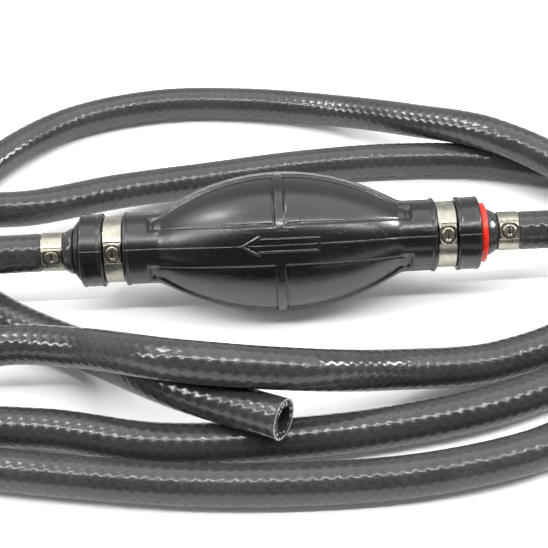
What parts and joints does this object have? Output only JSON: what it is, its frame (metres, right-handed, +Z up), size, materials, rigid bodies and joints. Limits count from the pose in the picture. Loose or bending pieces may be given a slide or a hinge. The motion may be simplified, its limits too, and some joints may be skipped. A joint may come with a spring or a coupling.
{
  "type": "fuel line primer bulb",
  "caption": "In-line rubber squeeze bulb with one-way valves, pinch clamps and a loosely coiled braided fuel hose on each end, for priming a fuel line.",
  "frame": {"origin": "centre of the bulb's underside, on the surface it lies on", "axes": "+X along the bulb towards the inlet (the flow is towards -X), +Y to the back, +Z up"},
  "size_m": [0.5404, 0.269, 0.0576],
  "materials": {
    "bulb_rubber": "glossy",
    "hose_rubber": "satin",
    "black_plastic": "satin",
    "red_plastic": "glossy",
    "white_plastic": "matte",
    "steel": "bright stainless",
    "seal_rubber": "matte"
  },
  "bodies": {
    "root": {"squeeze_bulb": "bulb_rubber", "inlet_fitting": "red_plastic", "outlet_fitting": "black_plastic", "inlet_valve_seat": "white_plastic", "inlet_valve_spring": "steel", "inlet_valve_cage": "white_plastic", "outlet_valve_seat": "white_plastic", "outlet_valve_spring": "steel", "outlet_valve_cage": "white_plastic", "inlet_neck_clamp": "steel", "outlet_neck_clamp": "steel", "inlet_hose_clamp": "steel", "outlet_hose_clamp": "steel", "outlet_hose": "hose_rubber", "inlet_hose": "hose_rubber"},
    "inlet_valve": {"inlet_poppet": "white_plastic", "inlet_valve_seal": "seal_rubber"},
    "outlet_valve": {"outlet_poppet": "white_plastic", "outlet_valve_seal": "seal_rubber"},
    "crown": {"bulb_crown": "bulb_rubber"}
  },
  "joints": [
    {"name": "inlet_valve_lift", "type": "slide", "parent": "root", "child": "inlet_valve", "axis": [-1, 0, 0], "range_m": [0, 0.0025], "stiffness_N_per_m": 60, "springref_m": -0.001, "deforming": ["inlet_valve_spring"]},
    {"name": "outlet_valve_lift", "type": "slide", "parent": "root", "child": "outlet_valve", "axis": [-1, 0, 0], "range_m": [0, 0.0025], "stiffness_N_per_m": 60, "springref_m": -0.001, "deforming": ["outlet_valve_spring"]},
    {"name": "bulb_squeeze", "type": "slide", "parent": "root", "child": "crown", "axis": [0, 0, -1], "range_m": [0, 0.008], "stiffness_N_per_m": 900, "springref_m": -0.002}
  ]
}
